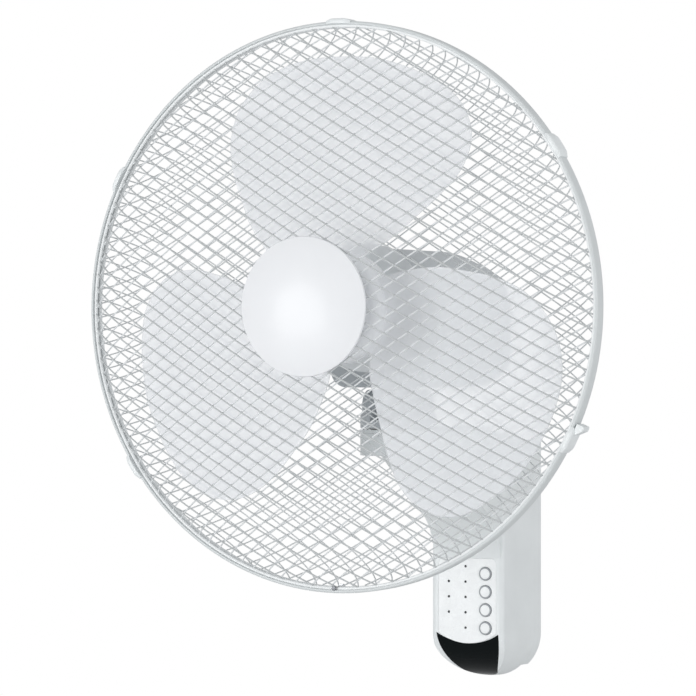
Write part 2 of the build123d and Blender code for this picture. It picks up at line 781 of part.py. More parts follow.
rim_inner = rim_radius - rim_wire / 2
rim_outer = rim_radius + rim_wire / 2
front_rim, rear_rim = [
    ring_part(rim_inner, rim_outer, middle - rim_wire / 2, middle + rim_wire / 2, ring_sides)
    for middle in (-ring_place - rim_gap - rim_wire / 2, rim_gap + rim_wire / 2 - ring_place)]
front_wires = cage_wires(front_cage, mesh_turn - front_mesh_angle, 0)
front_wires += cage_wires(front_cage, mesh_turn + front_mesh_angle, mesh_layer)
front_grille = Compound(children=front_wires)
rear_wires = cage_wires(rear_cage, -rear_mesh_angle, 0, rear_cage[-1][0])
rear_wires += cage_wires(rear_cage, rear_mesh_angle, mesh_layer, rear_cage[-1][0])
rear_grille = Compound(children=rear_wires)

ring_front = -ring_place - ring_width / 2
ring_back = ring_width / 2 - ring_place

with BuildPart() as grille_ring:
    add(ring_part(ring_inner, ring_radius, ring_front, ring_back, ring_sides))
    add(ring_part(ring_inner - 1, ring_radius - ring_wall, ring_front + ring_wall, ring_back - ring_wall,
                  ring_sides), mode=Mode.SUBTRACT)
    with BuildSketch(facing(ring_back)):
        with Locations((0, closure_height)):
            RegularPolygon(closure_radius + 0.05, closure_sides)
    extrude(amount=ring_width, mode=Mode.SUBTRACT)

# U-shaped clips bite over the ring; one of them has a lug for the thumb
with BuildPart() as rim_clips:
    front = ring_front - clip_play
    back = ring_back + clip_play
    inner = ring_inner + 1
    outer = ring_radius + clip_play
    for angle in clip_angles:
        radial = Vector(cos(radians(angle)), 0, sin(radians(angle)))
        with BuildSketch(Plane(origin=axial.origin, x_dir=radial, z_dir=radial.cross(Vector(0, 1, 0)))):
            with BuildLine():
                Polyline((inner, front - clip_wall), (outer + clip_wall, front - clip_wall),
                         (outer + clip_wall, back + clip_wall), (inner, back + clip_wall), (inner, back),
                         (outer, back), (outer, front), (inner, front), close=True)
            make_face()
        extrude(amount=clip_length / 2, both=True)
    with BuildSketch(facing(back)):
        Polygon((outer + 1, 2), (lug_tip, 7), (lug_tip, 10), (outer + 1, 10), rotation=lug_angle,
                align=None)
    extrude(amount=back - front)

with BuildPart() as ring_screw:
    with BuildSketch(facing(ring_front)):
        with Locations((0, closure_height)):
            RegularPolygon(closure_radius, closure_sides)
    extrude(amount=-ring_width - 3)
    with BuildSketch(facing(ring_front)):
        with Locations((0, closure_height)):
            RegularPolygon(2.6, 8)
    extrude(amount=1.4)

with BuildPart() as ring_nut:
    with BuildSketch(facing(ring_back)):
        with Locations((0, closure_height)):
            RegularPolygon(3, 6)
            RegularPolygon(closure_radius + 0.05, closure_sides, mode=Mode.SUBTRACT)
    extrude(amount=-2.2)

badge_plate = ring_part(0, 50, -badge_seat, 2 - badge_seat, round_sides)

with BuildPart() as centre_badge:
    add(ring_part(0, badge_radius, -badge_rim - badge_rise, -badge_front, round_sides))
    dome = centre_badge.faces().sort_by(Axis.Y)[0]
    chamfer(dome.edges(), 30, 0.6 * badge_rise, reference=dome)

pieces = {
    "front_casing": front_casing.part,
    "arm_lid": arm_lid.part,
    "control_panel": control_panel.part,
    "receiver_window": receiver_window.part,
    "rear_casing": rear_casing.part,
    "wall_bracket": wall_bracket.part,
    "cord_grommet": cord_grommet.part,
    "casing_screws": casing_screws,
    "lid_screws": lid_screws,
    "lock_screw": lock_screw,
    "control_board": control_board.part,
    "tact_switches": tact_switches.part,
    "ir_receiver": ir_receiver.part,
    "light_pipes": light_pipes.part,
    "neck_turret": neck_turret.part,
    "pivot_washer": pivot_washer.part,
    "pivot_clip": pivot_clip.part,
    "tilt_bolt": tilt_bolt.part,
    "tilt_nut": tilt_nut.part,
    "swing_shaft": swing_shaft.part,
    "swing_motor": swing_motor.part,
    "motor_shell": motor_shell.part,
    "motor_front_cover": motor_front_cover.part,
    "front_bearing": front_bearing,
    "rear_bearing": rear_bearing,
    "motor_end_bell": end_bell,
    "stator": stator,
    "stator_windings": windings,
    "run_capacitor": run_capacitor.part,
    "rotor_shaft": rotor_shaft.part,
    "drive_pin": drive_pin.part,
    "rotor_core": rotor_core,
    "impeller": impeller.part,
    "blade_nut": blade_nut.part,
    "grille_nut": grille_nut,
    "rear_hub_plate": hub_plate,
    "front_grille": front_grille,
    "rear_grille": rear_grille,
    "front_rim_wire": front_rim,
    "rear_rim_wire": rear_rim,
    "grille_ring": grille_ring.part,
    "rim_clips": rim_clips.part,
    "ring_screw": ring_screw.part,
    "ring_nut": ring_nut.part,
    "badge_plate": badge_plate,
    "centre_badge": centre_badge.part,
}
for name, part in pieces.items():
    save(part, name)
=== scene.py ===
"""Looks of a wall mounted fan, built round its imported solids.

Metres, in the frame of the solids: the wall is the plane Y = 0, the fan blows towards -Y, +Z is
up and the origin is the middle of the wall bracket's two screw holes. Sizes below are in
millimetres, unless a comment says otherwise. Heights are counted forwards from the fan's centre,
and depths backwards.
"""
import logging
from dataclasses import dataclass, field
from enum import Enum
from math import atan2, cos, hypot, pi, radians, sin, sqrt, tan
from typing import Callable, Sequence

import bmesh
import bpy
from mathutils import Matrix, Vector


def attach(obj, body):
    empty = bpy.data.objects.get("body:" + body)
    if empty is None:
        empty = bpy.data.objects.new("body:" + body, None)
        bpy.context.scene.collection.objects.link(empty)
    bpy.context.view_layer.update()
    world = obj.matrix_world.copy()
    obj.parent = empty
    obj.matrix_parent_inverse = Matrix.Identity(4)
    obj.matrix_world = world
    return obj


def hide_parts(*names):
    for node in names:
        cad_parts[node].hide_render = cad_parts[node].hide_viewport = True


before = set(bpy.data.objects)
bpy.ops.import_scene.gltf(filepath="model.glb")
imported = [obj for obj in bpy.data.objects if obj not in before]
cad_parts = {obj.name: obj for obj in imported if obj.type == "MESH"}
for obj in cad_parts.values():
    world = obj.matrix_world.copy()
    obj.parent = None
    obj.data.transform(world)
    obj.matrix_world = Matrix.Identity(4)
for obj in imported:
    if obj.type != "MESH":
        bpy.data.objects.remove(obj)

LOG = logging.getLogger("fan")
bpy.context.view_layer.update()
MM = 0.001
FAN = Vector((0.0, -0.2775, 0.190))   # centre of the fan in metres
NEAR_AXIS = 0.01            # radius where a turned profile meets its axis
WELD = 1e-6                 # points nearer than this, in metres, become one
FLAT = 0.5                  # degrees between faces that become one before edges are rounded
SMOOTH = 35.0               # degrees between faces that are shaded as one surface
WIRE_SIDES = 8              # facets round a wire
NOISE_SPREAD = (0.3, 0.7)   # where nearly all of a noise pattern's values lie

Pair = tuple[float, float]
Pairs = Sequence[Pair]
Radii = Sequence[float]
Colour = tuple[float, float, float]
Socket = bpy.types.NodeSocket


# ======== finishes


class NodeDesk:
    """Adds shader nodes to a material and wires them up."""

    def __init__(self, name: str) -> None:
        """Starts an empty material with a principled shader.

        Args:
            name: Name of the material.
        """
        self.material = bpy.data.materials.new(name)
        self.material.use_nodes = True
        tree = self.material.node_tree
        tree.nodes.clear()
        self.tree = tree
        self.shader = self.add("ShaderNodeBsdfPrincipled")
        self.output = self.add("ShaderNodeOutputMaterial")
        tree.links.new(self.shader.outputs[0], self.output.inputs["Surface"])
        self.place = self.add("ShaderNodeTexCoord").outputs["Object"]

    def add(self, kind: str, **values: object) -> bpy.types.Node:
        """Adds a node and sets its plain attributes.

        Args:
            kind: Type of the node.
            values: Attributes of the node.

        Returns:
            The new node.
        """
        node = self.tree.nodes.new(kind)
        for key, value in values.items():
            setattr(node, key, value)
        return node

    def link(self, source: Socket, target: Socket) -> None:
        """Joins an output to an input."""
        self.tree.links.new(source, target)

    def noise(self, size_mm: float, detail: float, stretch: Colour = (1, 1, 1)) -> Socket:
        """Cloudy pattern of a given grain size.

        Args:
            size_mm: Size of its spots.
            detail: Number of finer layers.
            stretch: Scale along each axis.

        Returns:
            The pattern's value, about 0 to 1.
        """
        mapping = self.add("ShaderNodeMapping")
        mapping.inputs["Scale"].default_value = stretch
        self.link(self.place, mapping.inputs["Vector"])
        node = self.add("ShaderNodeTexNoise")
        node.inputs["Scale"].default_value = 1.0 / (size_mm * MM)
        node.inputs["Detail"].default_value = detail
        self.link(mapping.outputs[0], node.inputs["Vector"])
        return node.outputs[0]

    def rough(self, value: Socket, low: float, high: float) -> None:
        """Varies the roughness over a range by a pattern.

        Args:
            value: Pattern from 0 to 1.
            low: Roughness at the pattern's low end.
            high: Roughness at its high end.
        """
        node = self.add("ShaderNodeMapRange")
        ends = (*NOISE_SPREAD, low, high)
        for name, end in zip(("From Min", "From Max", "To Min", "To Max"), ends):
            node.inputs[name].default_value = end
        self.link(value, node.inputs["Value"])
        self.link(node.outputs[0], self.shader.inputs["Roughness"])

    def tint(self, value: Socket, dark: Colour, light: Colour) -> None:
        """Colours the surface between two shades by a pattern.

        Args:
            value: Pattern from 0 to 1.
            dark: Colour at its low end.
            light: Colour at its high end.
        """
        node = self.add("ShaderNodeValToRGB")
        for stop, place, colour in zip(node.color_ramp.elements, NOISE_SPREAD, (dark, light)):
            stop.position = place
            stop.color = (*colour, 1)
        self.link(value, node.inputs[0])
        self.link(node.outputs[0], self.shader.inputs["Base Color"])

    def relief(self, value: Socket, height_mm: float, strength: float) -> None:
        """Raises the surface by a pattern.

        Args:
            value: Pattern from 0 to 1.
            height_mm: Height of its bumps.
            strength: Share of the bumps that shows.
        """
        node = self.add("ShaderNodeBump")
        node.inputs["Strength"].default_value = strength
        node.inputs["Distance"].default_value = height_mm * MM
        self.link(value, node.inputs["Height"])
        self.link(node.outputs[0], self.shader.inputs["Normal"])

    def fixed(self, **values: float) -> None:
        """Sets constant inputs of the shader; underscores stand for spaces."""
        for key, value in values.items():
            self.shader.inputs[key.replace("_", " ")].default_value = value


def shade(colour: Colour, factor: float) -> Colour:
    """Darker or lighter copy of a colour."""
    return tuple(min(1.0, part * factor) for part in colour)


@dataclass(frozen=True)
class Surface:
    """What all finishes share."""

    name: str
    colour: Colour

    def lay(self, desk: NodeDesk) -> None:
        """Adds the finish's own nodes to its material.

        Args:
            desk: The material's nodes.
        """
        raise NotImplementedError

    def material(self) -> bpy.types.Material:
        """Builds the material.

        Returns:
            The finished material.
        """
        desk = NodeDesk(self.name)
        self.lay(desk)
        return desk.material


@dataclass(frozen=True)
class Moulded(Surface):
    """Injection moulded plastic: faint cloudiness, a fine texture and a satin or glossy skin."""

    gloss: float = 0.35
    grain_mm: float = 0.7
    bump_mm: float = 0.02
    drift: float = 0.03
    flow: float = 0.05
    coat: float = 0.0
    shine: float = 0.5
    opacity: float = 1.0
    # painted light: an emission that makes a part glow though it is no lamp
    painted_glow: float = 0.0

    def lay(self, desk: NodeDesk) -> None:
        """Adds the plastic's cloudiness, skin and grain."""
        desk.tint(desk.noise(size_mm=28, detail=4), shade(self.colour, 1 - self.drift),
                  shade(self.colour, 1 + self.drift))
        desk.rough(desk.noise(size_mm=9, detail=4), self.gloss - self.flow,
                   self.gloss + self.flow)
        desk.relief(desk.noise(self.grain_mm, detail=2), self.bump_mm, strength=0.35)
        desk.fixed(IOR=1.49, Specular_IOR_Level=self.shine, Coat_Weight=self.coat,
                   Coat_Roughness=0.12, Alpha=self.opacity, Emission_Strength=self.painted_glow)


@dataclass(frozen=True)
class Coated(Surface):
    """Powder coated steel: an even coat with a slight orange peel."""

    gloss: float = 0.38

    def lay(self, desk: NodeDesk) -> None:
        """Adds the coat and its orange peel."""
        desk.tint(desk.noise(size_mm=14, detail=3), shade(self.colour, 0.95),
                  shade(self.colour, 1.03))
        desk.rough(desk.noise(size_mm=3, detail=2), self.gloss - 0.06, self.gloss + 0.08)
        desk.relief(desk.noise(size_mm=1.1, detail=2), height_mm=0.03, strength=0.4)
        desk.fixed(IOR=1.5, Coat_Weight=0.15, Coat_Roughness=0.2)


@dataclass(frozen=True)
class BareMetal(Surface):
    """Plated or plain metal with fine lines along one axis."""

    gloss: float = 0.3
    lines: Colour = (1.0, 8.0, 1.0)

    def lay(self, desk: NodeDesk) -> None:
        """Adds the lines to colour, gloss and relief."""
        lines = desk.noise(size_mm=2.4, detail=3, stretch=self.lines)
        desk.tint(lines, shade(self.colour, 0.86), shade(self.colour, 1.08))
        desk.rough(lines, self.gloss - 0.08, self.gloss + 0.12)
        desk.relief(lines, height_mm=0.02, strength=0.3)
        desk.fixed(Metallic=0.9)


@dataclass(frozen=True)
class Wound(Surface):
    """Enamelled wire in close turns round the fan axis."""

    def lay(self, desk: NodeDesk) -> None:
        """Adds the turns."""
        turns = desk.add("ShaderNodeTexWave", wave_type="RINGS", rings_direction="Y")
        turns.inputs["Scale"].default_value = 260.0
        turns.inputs["Distortion"].default_value = 1.5
        desk.link(desk.place, turns.inputs["Vector"])
        desk.tint(turns.outputs[1], shade(self.colour, 0.45), self.colour)
        desk.relief(turns.outputs[1], height_mm=0.3, strength=0.8)
        desk.fixed(Metallic=0.7, Roughness=0.35)


@dataclass(frozen=True)
class Board(Surface):
    """Circuit board lacquer with faint tracks under it."""

    def lay(self, desk: NodeDesk) -> None:
        """Adds the tracks and the lacquer."""
        tracks = desk.add("ShaderNodeTexBrick")
        tracks.inputs["Scale"].default_value = 260.0
        tracks.inputs["Color1"].default_value = (*self.colour, 1)
        tracks.inputs["Color2"].default_value = (*shade(self.colour, 0.8), 1)
        tracks.inputs["Mortar"].default_value = (*shade(self.colour, 1.7), 1)
        tracks.inputs["Mortar Size"].default_value = 0.06
        desk.link(desk.place, tracks.inputs["Vector"])
        desk.link(tracks.outputs[0], desk.shader.inputs["Base Color"])
        desk.relief(desk.noise(size_mm=2, detail=2), height_mm=0.05, strength=0.4)
        desk.fixed(Roughness=0.35)


class Finish(Enum):
    """The fan's finishes, each with the material slot of the record that it belongs to."""

    WHITE = (Moulded("white_moulding", (0.84, 0.87, 0.875), gloss=0.36), "white_plastic")
    PANEL = (Moulded("panel_moulding", (0.84, 0.86, 0.865), gloss=0.28, drift=0.012, coat=0.1),
             "white_plastic")
    DOME = (Moulded("badge_moulding", (0.885, 0.895, 0.915), gloss=0.42, bump_mm=0.006,
                    drift=0.006, flow=0.012, coat=0.2), "white_plastic")
    KEY = (Moulded("key_moulding", (0.88, 0.90, 0.905), gloss=0.3, drift=0.015), "white_plastic")
    # partly print and partly painted shade: the dark grey ring round each key stands for its
    # printed outline and for the shadowed gap round the key
    KEY_RING = (Moulded("key_ring_print_and_painted_shade", (0.33, 0.35, 0.37), gloss=0.4), "white_plastic")
    # painted shade: the motor covers, the tongue and the neck are the white plastic darkened for
    # the shade they sit in
    SHELL = (Moulded("shell_painted_shade", (0.57, 0.60, 0.62), gloss=0.42), "grey_shell")
    # painted light: the blades glow faintly, which brightens them though they are no lamp
    BLADE = (Moulded("blade_moulding", (0.90, 0.915, 0.94), gloss=0.25, bump_mm=0.008, drift=0.01,
                     coat=0.2, opacity=0.57, painted_glow=0.1), "blade_clear")
    WINDOW = (Moulded("window_moulding", (0.004, 0.006, 0.0065), gloss=0.1, bump_mm=0.004,
                      shine=0.08), "window_dark")
    LENS = (Moulded("lens_moulding", (0.03, 0.032, 0.034), gloss=0.2, coat=0.3), "lens")
    # painted shade: the grille ring is the white plastic darkened for the shade it sits in
    RING = (Moulded("ring_painted_shade", (0.70, 0.73, 0.735), gloss=0.36), "white_plastic")
    # painted light: the rim hoops are a lighter copy of the wire coating with a faint glow, which
    # lifts the shade in the ring's channel
    RIM_WIRE = (Moulded("rim_wire_painted_light", (0.86, 0.88, 0.885), gloss=0.4, painted_glow=0.07), "wire")
    WIRE = (Coated("wire_coating", (0.78, 0.80, 0.805)), "wire")
    # painted shade and painted light: both front families are the same white coated wire; the outer
    # one is darkened and the inner one lightened for how the light falls on them
    FRONT_WIRE = (Coated("front_wire_painted_shade", (0.58, 0.60, 0.605)), "wire")
    PALE_WIRE = (Coated("front_wire_painted_light", (0.80, 0.82, 0.83)), "wire")
    STEEL = (BareMetal("zinc_plating", (0.60, 0.61, 0.63)), "steel")
    SHEET = (BareMetal("galvanised_sheet", (0.56, 0.58, 0.60), gloss=0.42, lines=(1, 1, 1)),
             "sheet")
    LAMINATION = (BareMetal("lamination_steel", (0.30, 0.31, 0.33), gloss=0.45,
                            lines=(0.2, 9.0, 0.2)), "laminations")
    COPPER = (Wound("enamelled_wire", (0.62, 0.27, 0.11)), "copper")
    BOARD = (Board("board_lacquer", (0.05, 0.20, 0.09)), "board")
    BLACK = (Moulded("black_moulding", (0.02, 0.02, 0.022), gloss=0.45), "black_part")
    SEAL = (Moulded("grommet_rubber", (0.62, 0.64, 0.65), gloss=0.7, grain_mm=1.2, bump_mm=0.05),
            "rubber")
    NYLON = (Moulded("nylon_moulding", (0.78, 0.76, 0.70), gloss=0.5), "nylon")

    @property
    def made(self) -> bpy.types.Material:
        """The material, built at its first use."""
        surface = self.value[0]
        return bpy.data.materials.get(surface.name) or surface.material()


# ======== meshes


def fan_point(radius: float, angle: float, height: float) -> Vector:
    """Point about the fan axis.

    Args:
        radius: Distance from the axis in mm.
        angle: Angle from +X towards +Z in radians.
        height: Distance in front of the fan centre in mm.

    Returns:
        The point in metres.
    """
    return seen_point(radius * cos(angle), -height, radius * sin(angle))


def seen_point(x: float, depth: float, z: float) -> Vector:
    """Point from its place in the front view and its depth behind the fan centre, in mm."""
    return FAN + Vector((x, depth, z)) * MM


def turns(count: int) -> list[float]:
    """Angles in radians at even steps round a circle."""
    return [2 * pi * k / count for k in range(count)]


@dataclass
class Draft:
    """Points and faces gathered for one piece."""

    points: list[Vector] = field(default_factory=list)
    faces: list[tuple[int, ...]] = field(default_factory=list)

    def loft(self, rings: Sequence[Sequence[Vector]], round_trip: bool = False) -> None:
        """Skins closed rings that have the same number of points.

        Args:
            rings: Rings from one end to the other.
            round_trip: Whether the last ring joins the first; otherwise both ends are filled.
        """
        first = len(self.points)
        count = len(rings[0])
        for ring in rings:
            self.points.extend(ring)
        spans = len(rings) if round_trip else len(rings) - 1
        for span in range(spans):
            here = first + span * count
            there = first + (span + 1) % len(rings) * count
            for k in range(count):
                after = (k + 1) % count
                self.faces.append((here + k, here + after, there + after, there + k))
        if not round_trip:
            last = first + (len(rings) - 1) * count
            self.faces.append(tuple(range(first + count - 1, first - 1, -1)))
            self.faces.append(tuple(range(last, last + count)))

    def lathe(self, profile: Pairs, steps: int, centre: Pair = (0.0, 0.0)) -> None:
        """Turns a closed half section about an axis that points to the front.

        Args:
            profile: Radius and height pairs in mm.
            steps: Facets round the axis.
            centre: Place of the axis in the front view; the fan's own axis if not given.
        """
        x, z = centre
        self.loft([[seen_point(x + r * cos(a), -h, z + r * sin(a)) for r, h in profile]
                   for a in turns(steps)], round_trip=True)

    def bead(self, path: Sequence[Vector], radius: float, across: Vector) -> None:
        """Round wire along a path that lies in one plane.

        Args:
            path: Middle line in metres.
            radius: Radius of the wire in mm.
            across: Normal of the path's plane.
        """
        rings = []
        for k, point in enumerate(path):
            before = path[max(k - 1, 0)]
            after = path[min(k + 1, len(path) - 1)]
            lift = across.cross(after - before).normalized()
            rings.append([point + (across * cos(a) + lift * sin(a)) * radius * MM
                          for a in turns(WIRE_SIDES)])
        self.loft(rings)

    def prism(self, outline: Pairs, place: Callable[[float, float, float], Vector],
              low: float, high: float) -> None:
        """Straight piece between two ends.

        Args:
            outline: Corners in the section's own plane.
            place: Gives the point for a corner and a distance along the piece.
            low: Distance of the first end.
            high: Distance of the other end.
        """
        self.loft([[place(a, b, end) for a, b in outline] for end in (low, high)])

    def piece(self, name: str, body: str, finish: Finish, replaces: Sequence[str] = (),
              soften: float = 0.0, smooth: float = SMOOTH) -> None:
        """Makes the object, dresses it and hands it to its body.

        Args:
            name: Name of the piece.
            body: Body that it rides on.
            finish: Its finish.
            replaces: Nodes that it stands for.
            soften: Width in mm of the rounding on sharp edges.
            smooth: Edges below this angle in degrees are shaded smooth.
        """
        mesh = bpy.data.meshes.new(name)
        mesh.from_pydata([tuple(p) for p in self.points], [], self.faces)
        work = bmesh.new()
        work.from_mesh(mesh)
        finish_mesh(work, mesh, soften, smooth)
        dress(bpy.data.objects.new(name, mesh), body, finish, replaces)


def finish_mesh(work: bmesh.types.BMesh, mesh: bpy.types.Mesh, soften: float,
                smooth: float) -> None:
    """Closes, rounds and shades a mesh.

    Args:
        work: The mesh being edited; it is freed here.
        mesh: Where the result goes.
        soften: Width in mm of the rounding on sharp edges.
        smooth: Edges below this angle in degrees are shaded smooth.
    """
    bmesh.ops.remove_doubles(work, verts=work.verts, dist=WELD)
    bmesh.ops.recalc_face_normals(work, faces=work.faces)
    if soften:
        sharp = [edge for edge in work.edges
                 if edge.is_manifold and edge.calc_face_angle(0.0) > radians(smooth)]
        bmesh.ops.bevel(work, geom=sharp, offset=soften * MM, segments=2, profile=0.6,
                        affect="EDGES", clamp_overlap=True)
    for face in work.faces:
        face.smooth = True
    work.to_mesh(mesh)
    work.free()
    mesh.set_sharp_from_angle(angle=radians(smooth))
    if soften:
        weigh_normals(mesh, cos(radians(smooth)))


def weigh_normals(mesh: bpy.types.Mesh, limit: float) -> None:
    """Lets large flat faces keep their shading up to the rounding beside them.

    Args:
        mesh: The mesh.
        limit: Cosine of the angle between faces that shade as one surface.
    """
    around: list[list[int]] = [[] for _ in mesh.vertices]
    for face in mesh.polygons:
        for corner in face.vertices:
            around[corner].append(face.index)
    normals = []
    for face in mesh.polygons:
        for corner in face.vertices:
            total = Vector()
            for other in around[corner]:
                beside = mesh.polygons[other]
                if face.normal.dot(beside.normal) > limit:
                    total += beside.normal * beside.area
            normals.append(total.normalized())
    mesh.normals_split_custom_set(normals)


def dress(piece: bpy.types.Object, body: str, finish: Finish, replaces: Sequence[str]) -> None:
    """Links a piece to the scene with its finish and its body.

    Args:
        piece: The new object.
        body: Body that it rides on.
        finish: Its finish.
        replaces: Nodes that it stands for.
    """
    bpy.context.scene.collection.objects.link(piece)
    piece.data.materials.clear()
    piece.data.materials.append(finish.made)
    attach(piece, body)
    if replaces:
        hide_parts(*replaces)
    LOG.info("%s: %d faces", piece.name, len(piece.data.polygons))


def skin(node: str, body: str, finish: Finish, width: float, smooth: float = SMOOTH) -> None:
    """Makes a copy of a solid with rounded edges, which stands for it.

    Args:
        node: Name of the solid.
        body: Body that it rides on.
        finish: Its finish.
        width: Width of the rounding in mm.
        smooth: Edges below this angle in degrees are shaded smooth.
    """
    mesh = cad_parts[node].data.copy()
    work = bmesh.new()
    work.from_mesh(mesh)
    bmesh.ops.remove_doubles(work, verts=work.verts, dist=WELD)
    bmesh.ops.dissolve_limit(work, angle_limit=radians(FLAT), verts=work.verts, edges=work.edges)
    finish_mesh(work, mesh, width, smooth)
    dress(bpy.data.objects.new(f"{node}_skin", mesh), body, finish, [node])


def keep(finish: Finish, *nodes: str) -> None:
    """Leaves solids in view and gives them a finish."""
    for node in nodes:
        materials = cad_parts[node].data.materials
        materials.clear()
        materials.append(finish.made)


def arc(centre: Pair, radius: float, start: float, end: float, steps: int) -> list[Pair]:
    """Points on an arc.

    Args:
        centre: Its centre.
        radius: Its radius.
        start: First angle in degrees.
        end: Last angle in degrees.
        steps: Number of spans.

    Returns:
        The points, both ends included.
    """
    angles = [radians(start + (end - start) * k / steps) for k in range(steps + 1)]
    return [(centre[0] + radius * cos(a), centre[1] + radius * sin(a)) for a in angles]


def rounded(corners: Pairs, radii: Radii, steps: int = 4) -> list[Pair]:
    """Closed outline with rounded corners.

    Args:
        corners: Its corners in order.
        radii: Rounding at each corner.
        steps: Spans on each rounding.

    Returns:
        The outline's points.
    """
    points: list[Pair] = []
    for k, (corner, radius) in enumerate(zip(corners, radii)):
        if not radius:
            points.append(corner)
            continue
        here = Vector(corner)
        back = (Vector(corners[k - 1]) - here).normalized()
        ahead = (Vector(corners[(k + 1) % len(corners)]) - here).normalized()
        half = back.angle(ahead) / 2
        centre = here + (back + ahead).normalized() * radius / sin(half)
        start, end = here + back * radius / tan(half), here + ahead * radius / tan(half)
        for s in range(steps + 1):
            spoke = (start - centre).lerp(end - centre, s / steps).normalized() * radius
            points.append(tuple(centre + spoke))
    return points


# ======== the caged head


RIM_SHARE = 0.86    # share of the cage's steep wall that its bend takes up
BEND_STEPS = 9      # spans on the bend
LONG_SPAN = 9       # mm between a wire's points where it runs straight
SHORT_SPAN = 1.2    # least mm between two of its points
RIM_MARGIN = 2.5    # least mm between the rim and a family's outermost wire


@dataclass
class WireCage:
    """Two families of parallel wires that follow a cage's half section.

    The profile gives radius and height from the rim to the last bend, inner the radius where the
    wires end, corner the bend's length on the front, wire the wires' radius and layer how far the
    inner family lies inside the outer one. The cage bulges backwards where outward is -1.
    """

    name: str
    node: str
    slopes: Pair
    pitch: float
    profile: Pairs
    inner: float
    corner: float
    wire: float = 0.64
    layer: float = 1.35
    outward: float = 1.0
    outer_finish: Finish = Finish.WIRE
    inner_finish: Finish = Finish.WIRE

    def half_section(self, inset: float) -> list[Pair]:
        """The half section from the rim to the last bend, with its bends rounded.

        Args:
            inset: How far this layer lies inside the other one.

        Returns:
            Radius and height pairs, the radius falling all the way.
        """
        points = [(r - inset, h - inset * self.outward if k else h)
                  for k, (r, h) in enumerate(self.profile)]
        curve = [points[0]]
        for before, here, after in zip(points, points[1:], points[2:]):
            a, b, c = Vector(before), Vector(here), Vector(after)
            start = b + (a - b) * RIM_SHARE
            end = b + (c - b).normalized() * min(self.corner, (c - b).length / 2)
            for k in range(BEND_STEPS + 1):
                t = k / BEND_STEPS
                curve.append(tuple(start * (1 - t) ** 2 + b * 2 * t * (1 - t) + end * t ** 2))
        return curve + [points[-1]]

    def run(self, section: Pairs, reach: float) -> list[Pair]:
        """Half of one wire, from the rim inwards.

        Args:
            section: The half section that it follows.
            reach: How far the wire passes from the axis.

        Returns:
            Distance along the wire and height at each point.
        """
        stop = sqrt(max(self.inner ** 2 - reach ** 2, 0.0))
        spots = [sqrt(r * r - reach * reach) for r, _ in section if r > max(reach, self.inner)]
        steps = max(2, int((spots[0] - stop) / LONG_SPAN))
        spots += [spots[0] + (stop - spots[0]) * k / steps for k in range(1, steps + 1)]
        points: list[Pair] = []
        for spot in sorted(spots, reverse=True):
            if points and points[-1][0] - spot < SHORT_SPAN and spot > stop:
                continue
            points.append((spot, self.height(section, hypot(spot, reach))))
        return points

    @staticmethod
    def height(section: Pairs, radius: float) -> float:
        """Height of a half section at a radius.

        Args:
            section: The half section, from the rim inwards.
            radius: Distance from the axis.

        Returns:
            Its height there.
        """
        for (outer, low), (inner, high) in zip(section, section[1:]):
            if radius >= inner:
                return low + (high - low) * min(1.0, (outer - radius) / (outer - inner))
        return section[-1][1]

    def wires(self, draft: Draft, slope: float, inset: float) -> None:
        """Adds one family of wires.

        Args:
            draft: Mesh that takes them.
            slope: Angle of the wires in the front view in degrees.
            inset: How far this family lies inside the other one.
        """
        section = self.half_section(inset)
        turn = radians(slope)
        along = Vector((cos(turn), 0, sin(turn)))
        across = Vector((-sin(turn), 0, cos(turn)))
        widest = section[0][0] - RIM_MARGIN
        count = int(widest / self.pitch) + 1
        for number in range(-count, count):
            offset = (number + 0.5) * self.pitch
            if abs(offset) > widest:
                continue
            half = self.run(section, abs(offset))
            left = [self.place(along, across, -t, offset, h) for t, h in half]
            right = [self.place(along, across, t, offset, h) for t, h in half]
            if half[-1][0] > 0:
                draft.bead(left, self.wire, across)
                draft.bead(right, self.wire, across)
            else:
                draft.bead(left + right[-2::-1], self.wire, across)

    @staticmethod
    def place(along: Vector, across: Vector, t: float, offset: float, height: float) -> Vector:
        """Point of a wire from its run, its offset and its height."""
        return FAN + (along * t + across * offset + Vector((0, -height, 0))) * MM

    def build(self) -> None:
        """Makes the outer and the inner family of wires."""
        families = (("outer", self.outer_finish, 0.0), ("inner", self.inner_finish, self.layer))
        for slope, (layer, finish, inset) in zip(self.slopes, families):
            draft = Draft()
            self.wires(draft, slope, inset)
            draft.piece(f"{self.name}_{layer}", "head", finish, [self.node])


CLIP_WALL = (0.4, 1.0, 1.7) + (2.0,) * 7 + (1.7, 1.0, 0.4)   # thickness in mm along a clip


